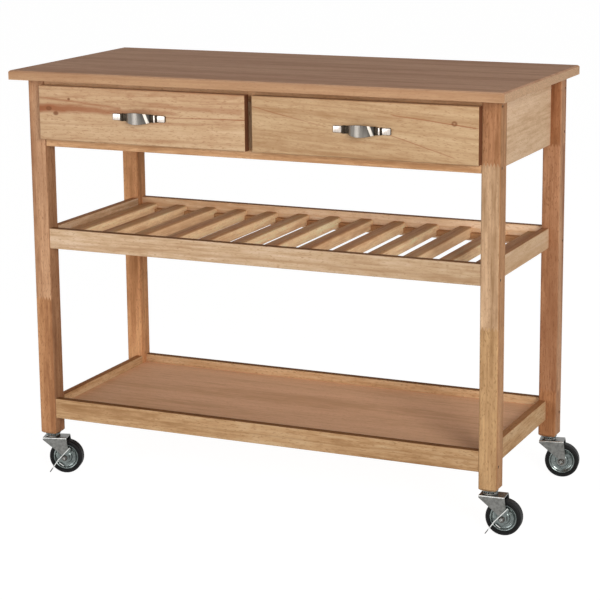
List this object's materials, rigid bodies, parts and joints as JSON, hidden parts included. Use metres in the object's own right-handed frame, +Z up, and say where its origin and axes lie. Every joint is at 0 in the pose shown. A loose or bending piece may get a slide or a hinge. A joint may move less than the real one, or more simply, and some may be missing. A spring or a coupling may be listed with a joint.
{
  "type": "kitchen cart",
  "caption": "Rolling wooden kitchen cart with a worktop, side-by-side drawers, a slatted shelf, a flat lower shelf and swivel casters with foot brakes.",
  "frame": {"origin": "on the floor, in the middle of the whole cart's outline as it stands with its right-hand casters trailing out past the worktop", "axes": "+X left to right seen from the drawer side, +Y from the drawer side to the back, +Z up"},
  "size_m": [1.145, 0.508, 0.914],
  "materials": {
    "rail_wood": "matt oiled rubberwood, pale tan",
    "leg_wood": "matt oiled rubberwood, redder",
    "top_wood": "smooth satin finished-lengthwise boards",
    "slat_wood": "matt oiled rubberwood",
    "drawer_wood": "matt, planed",
    "runner_steel": "brown baked coating",
    "zinc_steel": "bright zinc plated pressed steel",
    "screw_steel": "plated steel fasteners",
    "handle_nickel": "brushed nickel plated casting",
    "wheel_disc": "grey-green coated discs",
    "tyre_rubber": "black rubber tread"
  },
  "bodies": {
    "cart": {"worktop": "top_wood", "leg_front_left": "leg_wood", "leg_front_right": "leg_wood", "leg_rear_left": "leg_wood", "leg_rear_right": "leg_wood", "case_side_left": "rail_wood", "case_side_right": "rail_wood", "case_back": "rail_wood", "case_rail_upper": "rail_wood", "case_rail_lower": "rail_wood", "case_partition": "slat_wood", "slat_rail_front": "rail_wood", "slat_rail_rear": "rail_wood", "slat_rail_left": "rail_wood", "slat_rail_right": "rail_wood", "slat_bearers": "slat_wood", "slats": "slat_wood", "base_rail_front": "rail_wood", "base_rail_rear": "rail_wood", "base_rail_left": "rail_wood", "base_rail_right": "rail_wood", "base_bearers": "slat_wood", "base_panel": "top_wood", "case_runners": "runner_steel", "frame_bolts": "screw_steel", "wood_screws": "screw_steel", "dowels": "drawer_wood", "caster_stems": "zinc_steel"},
    "drawer_left": {"drawer_front_left": "rail_wood", "drawer_sides_left": "drawer_wood", "drawer_back_left": "drawer_wood", "drawer_bottom_left": "drawer_wood", "drawer_runners_left": "runner_steel", "handle_left": "handle_nickel", "handle_screws_left": "screw_steel"},
    "drawer_right": {"drawer_front_right": "rail_wood", "drawer_sides_right": "drawer_wood", "drawer_back_right": "drawer_wood", "drawer_bottom_right": "drawer_wood", "drawer_runners_right": "runner_steel", "handle_right": "handle_nickel", "handle_screws_right": "screw_steel"},
    "swivel_fl": {"fork_fl": "zinc_steel", "axle_fl": "zinc_steel"},
    "wheel_fl": {"hub_fl": "wheel_disc", "tyre_fl": "tyre_rubber"},
    "brake_lever_fl": {"brake_fl": "zinc_steel"},
    "swivel_fr": {"fork_fr": "zinc_steel", "axle_fr": "zinc_steel"},
    "wheel_fr": {"hub_fr": "wheel_disc", "tyre_fr": "tyre_rubber"},
    "brake_lever_fr": {"brake_fr": "zinc_steel"},
    "swivel_rl": {"fork_rl": "zinc_steel", "axle_rl": "zinc_steel"},
    "wheel_rl": {"hub_rl": "wheel_disc", "tyre_rl": "tyre_rubber"},
    "swivel_rr": {"fork_rr": "zinc_steel", "axle_rr": "zinc_steel"},
    "wheel_rr": {"hub_rr": "wheel_disc", "tyre_rr": "tyre_rubber"}
  },
  "joints": [
    {"name": "drawer_slide_left", "type": "slide", "parent": "cart", "child": "drawer_left", "axis": [0, -1, 0], "range_m": [0, 0.27]},
    {"name": "drawer_slide_right", "type": "slide", "parent": "cart", "child": "drawer_right", "axis": [0, -1, 0], "range_m": [0, 0.27]},
    {"name": "swivel_turn_fl", "type": "hinge", "parent": "cart", "child": "swivel_fl", "pos_m": [-0.53153, -0.191, 0.087], "axis": [0, 0, 1], "continuous": true},
    {"name": "wheel_roll_fl", "type": "hinge", "parent": "swivel_fl", "child": "wheel_fl", "pos_m": [-0.50269, -0.18273, 0.0375], "axis": [-0.2756, 0.9613, 0], "continuous": true},
    {"name": "brake_tilt_fl", "type": "hinge", "parent": "swivel_fl", "child": "brake_lever_fl", "pos_m": [-0.50269, -0.18273, 0.0375], "axis": [0.2756, -0.9613, 0], "range_deg": [-28, 0]},
    {"name": "swivel_turn_fr", "type": "hinge", "parent": "cart", "child": "swivel_fr", "pos_m": [0.50447, -0.191, 0.087], "axis": [0, 0, 1], "continuous": true},
    {"name": "wheel_roll_fr", "type": "hinge", "parent": "swivel_fr", "child": "wheel_fr", "pos_m": [0.5344, -0.18891, 0.0375], "axis": [-0.0698, 0.9976, 0], "continuous": true},
    {"name": "brake_tilt_fr", "type": "hinge", "parent": "swivel_fr", "child": "brake_lever_fr", "pos_m": [0.5344, -0.18891, 0.0375], "axis": [0.0698, -0.9976, 0], "range_deg": [-28, 0]},
    {"name": "swivel_turn_rl", "type": "hinge", "parent": "cart", "child": "swivel_rl", "pos_m": [-0.53153, 0.213, 0.087], "axis": [0, 0, 1], "continuous": true},
    {"name": "wheel_roll_rl", "type": "hinge", "parent": "swivel_rl", "child": "wheel_rl", "pos_m": [-0.50182, 0.21718, 0.0375], "axis": [-0.1392, 0.9903, 0], "continuous": true},
    {"name": "swivel_turn_rr", "type": "hinge", "parent": "cart", "child": "swivel_rr", "pos_m": [0.50447, 0.213, 0.087], "axis": [0, 0, 1], "continuous": true},
    {"name": "wheel_roll_rr", "type": "hinge", "parent": "swivel_rr", "child": "wheel_rr", "pos_m": [0.53402, 0.21821, 0.0375], "axis": [-0.1736, 0.9848, 0], "continuous": true}
  ]
}
